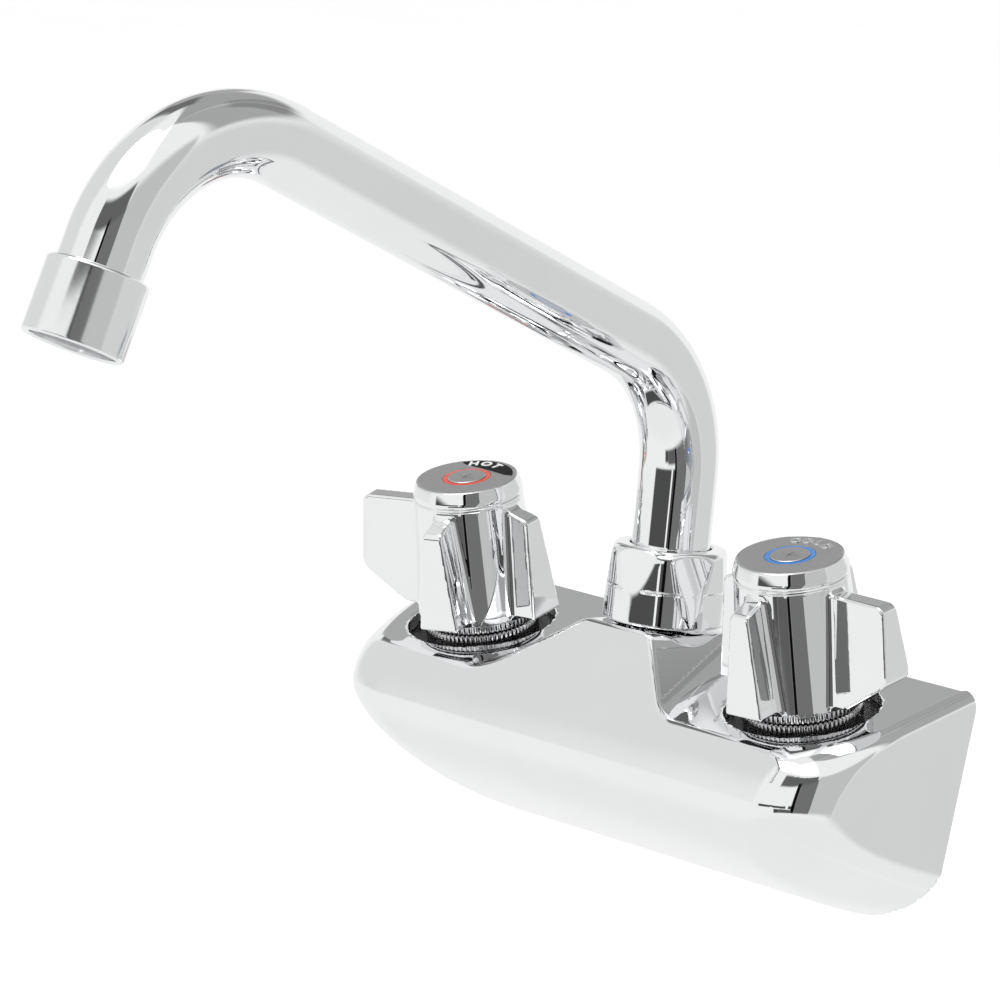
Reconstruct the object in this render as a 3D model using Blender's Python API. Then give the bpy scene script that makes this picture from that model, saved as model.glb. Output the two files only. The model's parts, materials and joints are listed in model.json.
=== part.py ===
"""Two-handle wall faucet on 4 in centres with a swinging spout, one named object per real piece.

Frame: metres, +Z up, wall plane at Y = 0, user on the -Y side, origin midway between the inlets.
Sub-part dimensions below are in millimetres and are scaled by MM when a mesh is made.
"""
import math

import bmesh
import bpy
from mathutils import Matrix, Vector

MM = 0.001

# Body casting
INLET_SPACING = 101.6
BODY_HALF_WIDTH = 80.0
END_DRAFT = 0.12
REAR_TOP_Z = 32.9
RIM_Y = -47.2
CHINE = (-52.6, 9.5)
HULL_HANDLES = ((-53.5, -1.5), (-38.0, -14.0))
KEEL = (-3.0, -23.2)
PLAN_CORNER = (22.0, 30.0)
REAR_CORNER_RADIUS = 20.0
CAST_WALL = 3.4
SADDLE_TOP_Z = 34.6
SADDLE_REAR_Z = 33.5
SADDLE_FRONT_Y = -33.0
SADDLE_HALF_WIDTH = 10.3
SADDLE_SIDE_SLOPE = 0.78

# Inlets and waterway
SOCKET_RADIUS = 10.0
SOCKET_DEPTH = 10.5
INLET_BOSS_RADIUS = 13.5
FEED_RADIUS = 5.0
GALLERY_Y = -20.0
GALLERY_Z = 22.0
GALLERY_RADIUS = 7.5
GALLERY_BORE = 4.5
PAD_HALF = 8.0

# Valve stations: local +Z runs up the handle axis, local zero is just under the deck
HANDLE_TILT = math.radians(15.4)
STATION_Y = -25.0
SEAT_DROP = 0.8
RECESS_RADIUS = 17.5
RECESS_DEPTH = 3.0
NUT_BORE = 11.3
CARTRIDGE_BORE = 9.0
SHOULDER_Z = -9.0
BORE_FLOOR_Z = -17.2
BARREL_RADIUS = 12.5
BARREL_END_Z = -31.0
GAP = 0.3

# Handles
HANDLE_BASE_Z = 1.2
HANDLE_TOP_Z = 36.5
FOOT_RADIUS = 13.6
SKIRT_RADIUS = 14.8
NECK_RADIUS = 12.6
DISC_RADIUS = 11.2
WING_TOP_Z = 30.4
WING_WIDTH_TOP = 4.4
WING_WIDTH_FOOT = 10.2
WING_FOOT_Z = 5.2
LEVER_REACH = 28.4
LEVER_FLARE = 1.0
LEVER_FOOT_Z = 13.0
RIB_REACH_TOP = 18.8
RIB_REACH_FOOT = 20.2
RIB_END_TOP_Z = 28.4
RIB_FOOT_Z = 6.4
# Directions round the handle axis in degrees, from +X: the lever first, then three ribs
WING_ANGLES = {"hot": (-165.0, -73.0, 7.0, 103.0), "cold": (-1.0, -87.0, 95.0, 178.0)}
KNURLS = 36

# Spout
SPOUT_Y = -17.5
TUBE_RADIUS = 9.1
TUBE_BORE = 7.6
PLUG_RADIUS = 8.0
PLUG_BORE = 6.0
SHANK_RADIUS = 10.8
SHANK_BORE = 8.3
SHANK_FLOOR_Z = 22.0
SHANK_TOP_Z = 47.5
PLUG_BASE_Z = 25.0
BEND_1_Z = 92.9
BEND_RADIUS = 33.8
RISE = math.radians(20.8)
REACH = 174.5
OUTLET_LEAN = math.radians(19.8)
NUT_BASE_Z = 35.0
NUT_HEIGHT = 17.8
NUT_RADIUS = 14.1
NUT_FLATS = 6
COLLAR_START = 6.0
COLLAR_END = 22.5
COLLAR_RADIUS = 10.85
TUBE_END = 15.8

SIDES = 24


def clear_scene():
    for obj in list(bpy.data.objects):
        bpy.data.objects.remove(obj, do_unlink=True)


def material(name, colour, roughness, metallic):
    mat = bpy.data.materials.get(name)
    if mat is None:
        mat = bpy.data.materials.new(name)
        mat.use_nodes = True
        shader = mat.node_tree.nodes["Principled BSDF"]
        shader.inputs["Base Color"].default_value = (*colour, 1.0)
        shader.inputs["Roughness"].default_value = roughness
        shader.inputs["Metallic"].default_value = metallic
    return mat


def chrome():
    return material("polished_chrome", (0.82, 0.83, 0.84), 0.06, 1.0)


def satin():
    return material("satin_nickel", (0.55, 0.55, 0.56), 0.32, 1.0)


def brass():
    return material("cast_brass", (0.72, 0.55, 0.28), 0.35, 1.0)


def steel():
    return material("stainless_steel", (0.62, 0.62, 0.63), 0.28, 1.0)


def rubber():
    return material("black_rubber", (0.03, 0.03, 0.03), 0.7, 0.0)


def ceramic():
    return material("alumina_ceramic", (0.85, 0.84, 0.8), 0.25, 0.0)


def grey_plastic():
    return material("grey_acetal", (0.5, 0.51, 0.52), 0.45, 0.0)


def red_enamel():
    return material("red_enamel", (0.7, 0.06, 0.04), 0.3, 0.0)


def blue_enamel():
    return material("blue_enamel", (0.04, 0.22, 0.65), 0.3, 0.0)


def finish(name, bm, mat, frame=None):
    """Turn a bmesh in millimetres into an object whose faces all point out."""
    bmesh.ops.remove_doubles(bm, verts=bm.verts, dist=0.001)
    bmesh.ops.recalc_face_normals(bm, faces=bm.faces)
    bmesh.ops.scale(bm, vec=(MM, MM, MM), verts=bm.verts)
    mesh = bpy.data.meshes.new(name)
    bm.to_mesh(mesh)
    bm.free()
    mesh.shade_smooth()
    mesh.set_sharp_from_angle(angle=math.radians(30.0))
    obj = bpy.data.objects.new(name, mesh)
    bpy.context.scene.collection.objects.link(obj)
    mesh.materials.append(mat)
    if frame is not None:
        obj.parent = frame
    return obj


def as_cutter(obj):
    obj.hide_render = True
    obj.display_type = "WIRE"
    return obj


def boolean(target, tool, operation):
    mod = target.modifiers.new(tool.name, "BOOLEAN")
    mod.object = tool
    mod.operation = operation
    mod.solver = "EXACT"
    as_cutter(tool)


def turned(bm, profile, sides=SIDES, matrix=Matrix()):
    """Spin a closed (radius, height) outline about Z; radius 0 closes on the axis."""
    rings = []
    for radius, height in profile:
        if radius < 1e-6:
            rings.append([bm.verts.new(matrix @ Vector((0.0, 0.0, height)))])
            continue
        ring = []
        for i in range(sides):
            angle = 2.0 * math.pi * i / sides
            spot = Vector((radius * math.cos(angle), radius * math.sin(angle), height))
            ring.append(bm.verts.new(matrix @ spot))
        rings.append(ring)
    for first, second in zip(rings, rings[1:] + rings[:1]):
        if len(first) == 1 and len(second) == 1:
            continue
        for i in range(sides):
            j = (i + 1) % sides
            corners = [first[i % len(first)], first[j % len(first)]]
            corners += [second[j % len(second)], second[i % len(second)]]
            unique = list(dict.fromkeys(corners))
            bm.faces.new(unique)
    return bm


def lathe(name, profile, mat, frame=None, sides=SIDES):
    bm = bmesh.new()
    turned(bm, profile, sides)
    return finish(name, bm, mat, frame)


def rod(radius, low, high):
    return [(0.0, low), (radius, low), (radius, high), (0.0, high)]


def ring(inner, outer, low, high):
    return [(inner, low), (outer, low), (outer, high), (inner, high)]


def torus(centre_radius, wire_radius, height, steps=6):
    outline = []
    for i in range(steps):
        angle = 2.0 * math.pi * i / steps
        radius = centre_radius + wire_radius * math.cos(angle)
        outline.append((radius, height + wire_radius * math.sin(angle)))
    return outline


def rod_along(name, radius, start, end, mat, sides=SIDES):
    """A round bar between two points in the body's frame."""
    start = Vector(start)
    axis = Vector(end) - start
    turn = axis.to_track_quat("Z", "Y").to_matrix().to_4x4()
    bm = bmesh.new()
    turned(bm, rod(radius, 0.0, axis.length), sides, Matrix.Translation(start) @ turn)
    return finish(name, bm, mat)


def wedge(name, low, high, planes, mat):
    """A box trimmed by planes (point, outward normal); everything outside is cut off."""
    bm = bmesh.new()
    bmesh.ops.create_cube(bm, size=1.0)
    size = Vector(high) - Vector(low)
    middle = (Vector(high) + Vector(low)) / 2.0
    bmesh.ops.scale(bm, vec=size, verts=bm.verts)
    bmesh.ops.translate(bm, vec=middle, verts=bm.verts)
    for point, normal in planes:
        geom = bm.verts[:] + bm.edges[:] + bm.faces[:]
        cut = bmesh.ops.bisect_plane(bm, geom=geom, plane_co=point, plane_no=normal, clear_outer=True)
        edges = [item for item in cut["geom_cut"] if isinstance(item, bmesh.types.BMEdge)]
        bmesh.ops.contextual_create(bm, geom=edges)
    return finish(name, bm, mat)


def bezier(points, t):
    """De Casteljau point on a Bezier curve of any degree."""
    spots = [Vector(point) for point in points]
    while len(spots) > 1:
        spots = [a.lerp(b, t) for a, b in zip(spots, spots[1:])]
    return spots[0]


def deck_z(y):
    """Height of the sloping deck, square to the handle axes."""
    return REAR_TOP_Z + y * math.tan(HANDLE_TILT)


def hull_outline():
    """Side profile of the front: leaning face, chine, then the under-curve to the wall."""
    rim_z = deck_z(RIM_Y)
    lean = Vector((RIM_Y - SADDLE_FRONT_Y, rim_z - SADDLE_TOP_Z)).normalized()
    top = Vector((SADDLE_FRONT_Y, SADDLE_TOP_Z)) - lean * 1.5
    rim = Vector((RIM_Y, rim_z))
    brow = rim + lean * 0.7
    outline = [top, top.lerp(brow, 0.5), brow]
    shoulder = rim + lean * 6.0
    for i in range(1, 4):
        outline.append(bezier((brow, shoulder, CHINE), i / 3.0))
    steps = 12
    for i in range(1, steps + 1):
        outline.append(bezier((CHINE, *HULL_HANDLES, KEEL), i / steps))
    return outline


def hull(name, inset, back_y, mat):
    """Stack of flat rings with round plan corners, drafted ends and rounded rear corners."""
    outline = hull_outline()
    bottom = KEEL[1] + inset
    rings = []
    bm = bmesh.new()
    for i, spot in enumerate(outline):
        before = outline[max(i - 1, 0)]
        after = outline[min(i + 1, len(outline) - 1)]
        along = (after - before).normalized()
        y = spot.x - along.y * inset
        z = spot.y + along.x * inset
        if i == len(outline) - 1:
            z = bottom
        z = max(z, bottom)
        fall = min(max((REAR_TOP_Z - z) / (REAR_TOP_Z - KEEL[1]), 0.0), 1.0)
        half = BODY_HALF_WIDTH - inset - END_DRAFT * (REAR_TOP_Z - z)
        curl = REAR_CORNER_RADIUS - (z - bottom)
        if curl > 0.0:
            half -= REAR_CORNER_RADIUS - math.sqrt(REAR_CORNER_RADIUS ** 2 - curl ** 2)
        radius = PLAN_CORNER[0] + (PLAN_CORNER[1] - PLAN_CORNER[0]) * fall - inset
        radius = min(radius, -y - 0.5)
        rings.append(plan_ring(bm, half, y, radius, z, back_y))
    for first, second in zip(rings, rings[1:]):
        count = len(first)
        for i in range(count):
            j = (i + 1) % count
            bm.faces.new((first[i], first[j], second[j], second[i]))
    bm.faces.new(rings[0])
    bm.faces.new(rings[-1])
    return finish(name, bm, mat)


def plan_ring(bm, half, front_y, radius, z, back_y, steps=8):
    spots = [(half, back_y)]
    for i in range(steps + 1):
        angle = 0.5 * math.pi * i / steps
        x = half - radius + radius * math.cos(angle)
        spots.append((x, front_y + radius - radius * math.sin(angle)))
    left = [(-x, y) for x, y in reversed(spots)]
    return [bm.verts.new((x, y, z)) for x, y in spots + left]


def top_cutters(prefix, drop, mat):
    """Solids that shape the top: two decks, and the saddle between them."""
    slope_normal = Vector((SADDLE_SIDE_SLOPE, 0.0, 1.0)).normalized()
    deck_normal = Vector((0.0, -math.sin(HANDLE_TILT), math.cos(HANDLE_TILT)))
    deck_point = Vector((0.0, 0.0, REAR_TOP_Z)) - deck_normal * drop
    tools = []
    for side, tag in ((-1.0, "hot"), (1.0, "cold")):
        normal = Vector((side * slope_normal.x, 0.0, slope_normal.z))
        corner = Vector((side * SADDLE_HALF_WIDTH, 0.0, SADDLE_TOP_Z)) - normal * drop
        low = (min(0.0, side * 95.0), -80.0, -40.0)
        high = (max(0.0, side * 95.0), 20.0, 70.0)
        planes = ((deck_point, -deck_normal), (corner, -normal))
        tools.append(wedge(prefix + tag + "_deck", low, high, planes, mat))
    fall = math.atan2(SADDLE_TOP_Z - SADDLE_REAR_Z, -SADDLE_FRONT_Y)
    top_normal = Vector((0.0, math.sin(fall), math.cos(fall)))
    point = Vector((0.0, 0.0, SADDLE_REAR_Z)) - top_normal * drop
    low = (-95.0, -80.0, -40.0)
    high = (95.0, 20.0, 70.0)
    tools.append(wedge(prefix + "saddle", low, high, ((point, -top_normal),), mat))
    return tools


def station_matrix(side):
    x = side * INLET_SPACING / 2.0
    spot = Vector((x, STATION_Y, deck_z(STATION_Y) - SEAT_DROP))
    return Matrix.Translation(spot) @ Matrix.Rotation(HANDLE_TILT, 4, "X")


def station_frame(tag, side):
    """Empty on the handle axis at the deck surface; the pieces of one valve hang on it."""
    frame = bpy.data.objects.new(tag + "_axis", None)
    bpy.context.scene.collection.objects.link(frame)
    frame.location = station_matrix(side).to_translation() * MM
    frame.rotation_euler = (HANDLE_TILT, 0.0, 0.0)
    return frame


def body_casting():
    """Hollow chromed casting, open to the wall, with barrels, inlets and gallery cast in."""
    mat = chrome()
    body = hull("body_casting", 0.0, 4.0, mat)
    for tool in top_cutters("trim_", 0.0, mat):
        boolean(body, tool, "DIFFERENCE")
    core = hull("core", CAST_WALL, 7.0, mat)
    for tool in top_cutters("core_trim_", CAST_WALL, mat):
        boolean(core, tool, "DIFFERENCE")
    boolean(body, core, "DIFFERENCE")
    stations = (("hot", -1.0), ("cold", 1.0))
    for tag, side in stations:
        bm = bmesh.new()
        wide = RECESS_RADIUS + 2.4
        neck = RECESS_DEPTH + 3.6
        outline = [(0.0, BARREL_END_Z), (BARREL_RADIUS, BARREL_END_Z), (BARREL_RADIUS, -neck - 6.0)]
        outline += [(wide, -neck), (wide, -1.0), (0.0, -1.0)]
        turned(bm, outline, SIDES, station_matrix(side))
        boolean(body, finish(tag + "_barrel", bm, mat), "UNION")
        x = side * INLET_SPACING / 2.0
        boss = rod_along(tag + "_boss", INLET_BOSS_RADIUS, (x, 1.5, 0.0), (x, -15.0, 0.0), mat)
        boolean(body, boss, "UNION")
    x = INLET_SPACING / 2.0
    pipe = rod_along("gallery", GALLERY_RADIUS, (-x, GALLERY_Y, GALLERY_Z), (x, GALLERY_Y, GALLERY_Z), mat)
    boolean(body, pipe, "UNION")
    bm = bmesh.new()
    column = [(0.0, -PAD_HALF), (12.6, -PAD_HALF), (12.6, NUT_BASE_Z - GAP - 0.2)]
    column += [(SHANK_RADIUS, NUT_BASE_Z - GAP - 0.2), (SHANK_RADIUS, SHANK_TOP_Z), (0.0, SHANK_TOP_Z)]
    turned(bm, column, SIDES, Matrix.Translation((0.0, SPOUT_Y, 0.0)))
    boolean(body, finish("spout_column", bm, mat), "UNION")
    pad = wedge("wall_pad", (-PAD_HALF, SPOUT_Y, -PAD_HALF + 1.0), (PAD_HALF, 3.0, PAD_HALF), (), mat)
    boolean(body, pad, "UNION")
    back = wedge("wall_plane", (-120.0, 0.0, -60.0), (120.0, 30.0, 80.0), (), mat)
    boolean(body, back, "DIFFERENCE")
    for tag, side in stations:
        bm = bmesh.new()
        outline = [(0.0, BARREL_END_Z + 4.0), (FEED_RADIUS, BARREL_END_Z + 4.0), (FEED_RADIUS, BORE_FLOOR_Z)]
        outline += [(CARTRIDGE_BORE, BORE_FLOOR_Z), (CARTRIDGE_BORE, SHOULDER_Z), (NUT_BORE, SHOULDER_Z)]
        outline += [(NUT_BORE, -RECESS_DEPTH), (RECESS_RADIUS, -RECESS_DEPTH), (RECESS_RADIUS, 9.0), (0.0, 9.0)]
        turned(bm, outline, SIDES, station_matrix(side))
        boolean(body, finish(tag + "_bore", bm, mat), "DIFFERENCE")
        x = side * INLET_SPACING / 2.0
        bm = bmesh.new()
        turn = Matrix.Translation((x, 0.0, 0.0)) @ Matrix.Rotation(math.pi / 2.0, 4, "X")
        outline = [(0.0, -6.0), (SOCKET_RADIUS, -6.0), (SOCKET_RADIUS, SOCKET_DEPTH)]
        outline += [(FEED_RADIUS, SOCKET_DEPTH + 0.8), (FEED_RADIUS, 19.0), (0.0, 19.0)]
        turned(bm, outline, SIDES, turn)
        boolean(body, finish(tag + "_inlet", bm, mat), "DIFFERENCE")
    x = INLET_SPACING / 2.0 - CARTRIDGE_BORE + 4.0
    bore = rod_along("gallery_bore", GALLERY_BORE, (-x, GALLERY_Y, GALLERY_Z), (x, GALLERY_Y, GALLERY_Z), mat, 20)
    boolean(body, bore, "DIFFERENCE")
    bm = bmesh.new()
    outline = rod(SHANK_BORE, SHANK_FLOOR_Z - 3.0, SHANK_TOP_Z + 3.0)
    turned(bm, outline, SIDES, Matrix.Translation((0.0, SPOUT_Y, 0.0)))
    boolean(body, finish("shank_bore", bm, mat), "DIFFERENCE")
    return body


def knurled_outline(outer, depth, teeth):
    spots = []
    for i in range(teeth * 2):
        angle = math.pi * i / teeth
        radius = outer - depth * (i % 2)
        spots.append((radius * math.cos(angle), radius * math.sin(angle)))
    return spots


def lock_nut(tag, frame):
    """Knurled bonnet nut: coarse head in the deck recess, threaded skirt in the casting."""
    bm = bmesh.new()
    outline = knurled_outline(13.4, 0.6, KNURLS)
    low = -RECESS_DEPTH + GAP
    floor = bm.faces.new([bm.verts.new((x, y, low)) for x, y in outline])
    raised = bmesh.ops.extrude_face_region(bm, geom=[floor])
    top = [item for item in raised["geom"] if isinstance(item, bmesh.types.BMVert)]
    bmesh.ops.translate(bm, vec=(0.0, 0.0, 0.9 - low), verts=top)
    nut = finish(tag + "_lock_nut", bm, chrome(), frame)
    skirt = lathe(tag + "_nut_skirt", rod(11.0, -6.7, low + 0.5), chrome(), frame)
    boolean(nut, skirt, "UNION")
    bore = lathe(tag + "_nut_bore", rod(7.4, -8.0, 3.0), chrome(), frame)
    boolean(nut, bore, "DIFFERENCE")


def cartridge(tag, frame):
    """Brass sleeve with a clamping flange, a stem neck and two water windows."""
    outline = [(7.6, -15.2), (8.7, -15.2), (8.7, SHOULDER_Z + GAP), (10.9, SHOULDER_Z + GAP)]
    outline += [(10.9, -7.0), (7.0, -7.0), (7.0, 9.0), (4.4, 9.0), (4.4, -8.6), (7.6, -8.6)]
    sleeve = lathe(tag + "_cartridge_sleeve", outline, brass(), frame)
    bm = bmesh.new()
    bmesh.ops.create_cube(bm, size=1.0)
    bmesh.ops.scale(bm, vec=(22.0, 6.0, 4.5), verts=bm.verts)
    bmesh.ops.translate(bm, vec=(0.0, 0.0, -12.0), verts=bm.verts)
    boolean(sleeve, finish(tag + "_window", bm, brass(), frame), "DIFFERENCE")
    lathe(tag + "_fixed_disc", rod(7.3, -15.0, -13.0), ceramic(), frame)
    lathe(tag + "_turning_disc", rod(7.3, -12.7, -10.8), ceramic(), frame)
    lathe(tag + "_seat_seal", ring(5.0, 8.4, BORE_FLOOR_Z + 0.2, -15.5), rubber(), frame)


def stem(tag, frame):
    outline = [(0.0, -10.5), (7.2, -10.5), (7.2, -8.9), (4.1, -8.9), (4.1, 3.2), (3.3, 3.2)]
    outline += [(3.3, 4.8), (4.1, 4.8), (4.1, 11.5), (3.8, 12.0), (3.8, 27.0), (1.7, 27.0)]
    outline += [(1.7, 17.0), (0.0, 17.0)]
    lathe(tag + "_stem", outline, brass(), frame, 16)
    lathe(tag + "_stem_o_ring", torus(3.86, 0.42, 4.0), rubber(), frame, 16)


def wing_width(z):
    share = (WING_TOP_Z - z) / (WING_TOP_Z - WING_FOOT_Z)
    return WING_WIDTH_TOP + (WING_WIDTH_FOOT - WING_WIDTH_TOP) * share


def wing(bm, angle, is_lever):
    """One grip wing, narrow at the top; the lever is longer and undercut back to the skirt."""
    outline = [(6.0, WING_FOOT_Z), (6.0, WING_TOP_Z)]
    if is_lever:
        outline += [(LEVER_REACH - 2.0, WING_TOP_Z), (LEVER_REACH, WING_TOP_Z - 2.0)]
        outline += [(LEVER_REACH + LEVER_FLARE, LEVER_FOOT_Z), (17.5, 6.0), (13.0, WING_FOOT_Z)]
    else:
        outline += [(12.8, WING_TOP_Z), (RIB_REACH_TOP - 0.8, RIB_END_TOP_Z)]
        outline += [(RIB_REACH_TOP, RIB_END_TOP_Z - 1.0)]
        outline += [(RIB_REACH_FOOT, RIB_FOOT_Z), (13.0, WING_FOOT_Z)]
    turn = Matrix.Rotation(angle, 4, "Z")
    loops = []
    for sign in (-0.5, 0.5):
        loop = []
        for radius, z in outline:
            loop.append(bm.verts.new(turn @ Vector((radius, sign * wing_width(z), z))))
        loops.append(loop)
    count = len(outline)
    for i in range(count):
        j = (i + 1) % count
        bm.faces.new((loops[0][i], loops[0][j], loops[1][j], loops[1][i]))
    bm.faces.new(loops[0])
    bm.faces.new(loops[1])


def handle(tag, frame):
    """Canopy handle: tapered skirt, a lever and three ribs, stem socket, index recess."""
    top = HANDLE_TOP_Z - 0.3
    outline = [(0.0, HANDLE_BASE_Z), (FOOT_RADIUS, HANDLE_BASE_Z), (FOOT_RADIUS, 3.4)]
    outline += [(SKIRT_RADIUS, 4.0), (SKIRT_RADIUS, 5.0), (NECK_RADIUS, 32.0), (NECK_RADIUS + 0.4, 32.4)]
    outline += [(NECK_RADIUS, 34.2), (DISC_RADIUS + 0.7, top), (0.0, top)]
    grip = lathe(tag + "_handle", outline, chrome(), frame)
    for i, angle in enumerate(WING_ANGLES[tag]):
        bm = bmesh.new()
        wing(bm, math.radians(angle), i == 0)
        boolean(grip, finish("%s_wing_%d" % (tag, i), bm, chrome(), frame), "UNION")
    hollow = [(0.0, -1.0), (10.6, -1.0), (10.6, 9.0), (8.6, 11.5), (4.2, 11.5), (4.2, 27.4)]
    hollow += [(1.8, 27.4), (1.8, 28.2), (4.3, 28.2), (4.3, 34.8), (DISC_RADIUS + 0.3, 34.8)]
    hollow += [(DISC_RADIUS + 0.3, 40.0), (0.0, 40.0)]
    boolean(grip, lathe(tag + "_hollow", hollow, chrome(), frame), "DIFFERENCE")


def index(tag, frame, enamel):
    """Satin disc that hides the screw, with a coloured ring and a small button."""
    outline = [(0.0, 35.1), (DISC_RADIUS, 35.1), (DISC_RADIUS, 36.2), (DISC_RADIUS - 0.3, HANDLE_TOP_Z)]
    outline += [(5.8, HANDLE_TOP_Z), (5.8, 35.7), (0.0, 35.7)]
    lathe(tag + "_index_disc", outline, satin(), frame)
    lathe(tag + "_index_ring", ring(4.65, 5.55, 35.9, 36.6), enamel, frame)
    lathe(tag + "_index_button", rod(4.35, 35.9, 36.8), satin(), frame)


def screw(tag, frame):
    outline = [(0.0, 18.0), (1.4, 18.0), (1.4, 28.4), (3.9, 28.4), (3.9, 30.2), (3.2, 31.0)]
    outline += [(1.0, 31.0), (1.0, 29.6), (0.0, 29.6)]
    lathe(tag + "_handle_screw", outline, steel(), frame, 16)


def valve(tag, side, enamel):
    frame = station_frame(tag, side)
    lock_nut(tag, frame)
    cartridge(tag, frame)
    stem(tag, frame)
    handle(tag, frame)
    screw(tag, frame)
    index(tag, frame, enamel)


def spout_path():
    """Centre line in the riser's frame: up, over the lower bend, out, and down to the outlet."""
    up = Vector((0.0, 0.0, 1.0))
    out = Vector((0.0, -math.cos(RISE), math.sin(RISE)))
    down = Vector((0.0, -math.sin(OUTLET_LEAN), -math.cos(OUTLET_LEAN)))
    corner_1 = Vector((0.0, 0.0, BEND_1_Z))
    corner_2 = corner_1 + out * REACH
    spots = []
    for corner, before, after, steps in ((corner_1, up, out, 8), (corner_2, out, down, 11)):
        spots += bend(corner, before, after, BEND_RADIUS, steps)
    return spots, down


def bend(corner, before, after, radius, steps):
    turn = before.angle(after)
    reach = radius * math.tan(turn / 2.0)
    start = corner - before * reach
    inward = (after - before * before.dot(after)).normalized()
    centre = start + inward * radius
    spots = []
    for i in range(steps + 1):
        angle = turn * i / steps
        spot = centre - inward * radius * math.cos(angle) + before * radius * math.sin(angle)
        along = before * math.cos(angle) + inward * math.sin(angle)
        spots.append((spot, along))
    return spots


def tube_ring(bm, spot, along, radius, sides=24):
    across = Vector((1.0, 0.0, 0.0))
    other = along.cross(across)
    made = []
    for i in range(sides):
        angle = 2.0 * math.pi * i / sides
        made.append(bm.verts.new(spot + (across * math.cos(angle) + other * math.sin(angle)) * radius))
    return made


def spout(frame):
    """Bent tube with a reduced plug end that turns in the shank on two O-rings."""
    up = Vector((0.0, 0.0, 1.0))
    bends, down = spout_path()
    finish_spot = bends[-1][0] + down * TUBE_END
    lower = [(PLUG_BASE_Z, PLUG_RADIUS)]
    for z in (29.0, 37.0):
        lower += [(z, PLUG_RADIUS), (z, 6.9), (z + 1.8, 6.9), (z + 1.8, PLUG_RADIUS)]
    lower += [(SHANK_TOP_Z - 0.2, PLUG_RADIUS), (48.2, PLUG_RADIUS), (48.2, 8.2), (49.8, 8.2), (49.8, TUBE_RADIUS)]
    outer = [(Vector((0.0, 0.0, z)), up, radius) for z, radius in lower]
    outer += [(spot, along, TUBE_RADIUS) for spot, along in bends]
    outer.append((finish_spot, down, TUBE_RADIUS))
    inner = [(finish_spot, down, TUBE_BORE)]
    inner += [(spot, along, TUBE_BORE) for spot, along in reversed(bends)]
    inner += [(Vector((0.0, 0.0, 56.0)), up, TUBE_BORE), (Vector((0.0, 0.0, 50.0)), up, PLUG_BORE)]
    inner.append((Vector((0.0, 0.0, PLUG_BASE_Z)), up, PLUG_BORE))
    bm = bmesh.new()
    rings = [tube_ring(bm, *item) for item in outer + inner]
    for first, second in zip(rings, rings[1:] + rings[:1]):
        for i in range(len(first)):
            j = (i + 1) % len(first)
            bm.faces.new((first[i], first[j], second[j], second[i]))
    finish("spout_tube", bm, chrome(), frame)
    lathe("spout_o_ring_lower", torus(7.6, 0.5, 29.9), rubber(), frame)
    lathe("spout_o_ring_upper", torus(7.6, 0.5, 37.9), rubber(), frame)
    lathe("spout_retaining_ring", ring(8.45, 10.7, 48.4, 49.6), brass(), frame)
    return bends[-1][0], down


def spout_nut(frame):
    """Round-based coupling nut; six tilted flats on its upper half take a wrench."""
    top = NUT_BASE_Z + NUT_HEIGHT
    outline = [(11.1, NUT_BASE_Z), (NUT_RADIUS, NUT_BASE_Z), (NUT_RADIUS, top - 3.0)]
    outline += [(NUT_RADIUS - 0.7, top - 1.2), (NUT_RADIUS - 2.2, top), (9.5, top), (9.5, 50.0), (11.1, 50.0)]
    nut = lathe("spout_nut", outline, chrome(), frame, 48)
    middle = top - 11.3
    for i in range(NUT_FLATS):
        angle = math.radians(-82.0) + 2.0 * math.pi * i / NUT_FLATS
        aside = Vector((math.cos(angle), math.sin(angle), 0.0))
        tilt = math.radians(6.0)
        normal = aside * math.cos(tilt) + Vector((0.0, 0.0, math.sin(tilt)))
        bm = bmesh.new()
        bmesh.ops.create_cube(bm, size=1.0)
        bmesh.ops.scale(bm, vec=(6.0, 13.0, 16.0), verts=bm.verts)
        bmesh.ops.translate(bm, vec=(3.0, 0.0, 7.0), verts=bm.verts)
        turn = Matrix.Rotation(angle, 4, "Z") @ Matrix.Rotation(-tilt, 4, "Y")
        place = Matrix.Translation(aside * (NUT_RADIUS - 0.2) + Vector((0.0, 0.0, middle)))
        bmesh.ops.transform(bm, matrix=place @ turn, verts=bm.verts)
        boolean(nut, finish("nut_flat_%d" % i, bm, chrome(), frame), "DIFFERENCE")


def outlet(frame, spot, down):
    """Collar swaged over the tube's end, holding the washer and the stream straightener."""
    mouth = bpy.data.objects.new("outlet_axis", None)
    bpy.context.scene.collection.objects.link(mouth)
    mouth.parent = frame
    mouth.location = spot * MM
    mouth.rotation_euler = (math.pi - OUTLET_LEAN, 0.0, 0.0)
    outline = [(9.4, COLLAR_START), (COLLAR_RADIUS - 0.6, COLLAR_START), (COLLAR_RADIUS, COLLAR_START + 0.8)]
    outline += [(COLLAR_RADIUS, COLLAR_END - 0.4), (COLLAR_RADIUS - 0.4, COLLAR_END), (9.4, COLLAR_END)]
    lathe("outlet_collar", outline, chrome(), mouth)
    lathe("outlet_washer", ring(6.4, 9.1, TUBE_END + 0.3, TUBE_END + 1.3), rubber(), mouth)
    low = TUBE_END + 1.6
    disc = lathe("stream_straightener", rod(9.1, low, low + 3.6), grey_plastic(), mouth)
    for i in range(6):
        angle = 2.0 * math.pi * (i + 0.6) / 6.0
        bm = bmesh.new()
        place = Matrix.Translation((5.2 * math.cos(angle), 5.2 * math.sin(angle), 0.0))
        turned(bm, rod(1.7, low - 1.0, low + 5.0), 12, place)
        boolean(disc, finish("jet_%d" % i, bm, grey_plastic(), mouth), "DIFFERENCE")


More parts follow.
